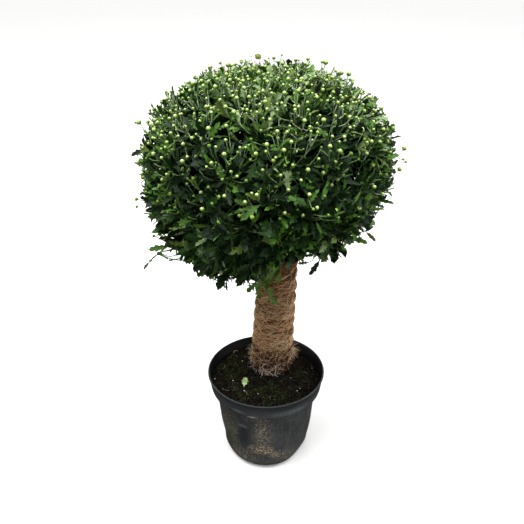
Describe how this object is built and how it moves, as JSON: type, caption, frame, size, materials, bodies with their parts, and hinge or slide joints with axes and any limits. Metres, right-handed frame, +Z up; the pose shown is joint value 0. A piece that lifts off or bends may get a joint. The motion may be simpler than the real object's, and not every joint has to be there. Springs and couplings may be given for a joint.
{
  "type": "potted standard chrysanthemum",
  "caption": "Budded chrysanthemum grown as a standard: a broad dense head of leafy shoots on one coir-wrapped stem, in a plain round nursery pot.",
  "frame": {"origin": "centre of the pot's flat underside, on the surface it stands on", "axes": "+Z up along the pot's axis, -Y towards the side the plant is seen from, +X to the right from there"},
  "size_m": [0.5187, 0.5023, 0.8867],
  "materials": {
    "pot_plastic": "dusty charcoal, thin blown plastic",
    "potting_soil": "dark damp peat with a little moss",
    "coir_wrap": "rough brown coconut fibre bound with twine",
    "green_bark": "grey-green young bark",
    "foliage": "soft dark green leaves with lime green buds"
  },
  "bodies": {
    "root": {"pot": "pot_plastic", "soil": "potting_soil", "trunk": "coir_wrap", "bough_top": "green_bark", "bough_upper_1": "green_bark", "bough_upper_2": "green_bark", "bough_upper_3": "green_bark", "bough_upper_4": "green_bark", "bough_upper_5": "green_bark", "bough_lower_1": "green_bark", "bough_lower_2": "green_bark", "bough_lower_3": "green_bark", "bough_lower_4": "green_bark", "bough_lower_5": "green_bark", "bough_lower_6": "green_bark", "foliage_top": "foliage", "foliage_upper_1": "foliage", "foliage_upper_2": "foliage", "foliage_upper_3": "foliage", "foliage_upper_4": "foliage", "foliage_upper_5": "foliage", "foliage_lower_1": "foliage", "foliage_lower_2": "foliage", "foliage_lower_3": "foliage", "foliage_lower_4": "foliage", "foliage_lower_5": "foliage", "foliage_lower_6": "foliage"}
  },
  "joints": []
}
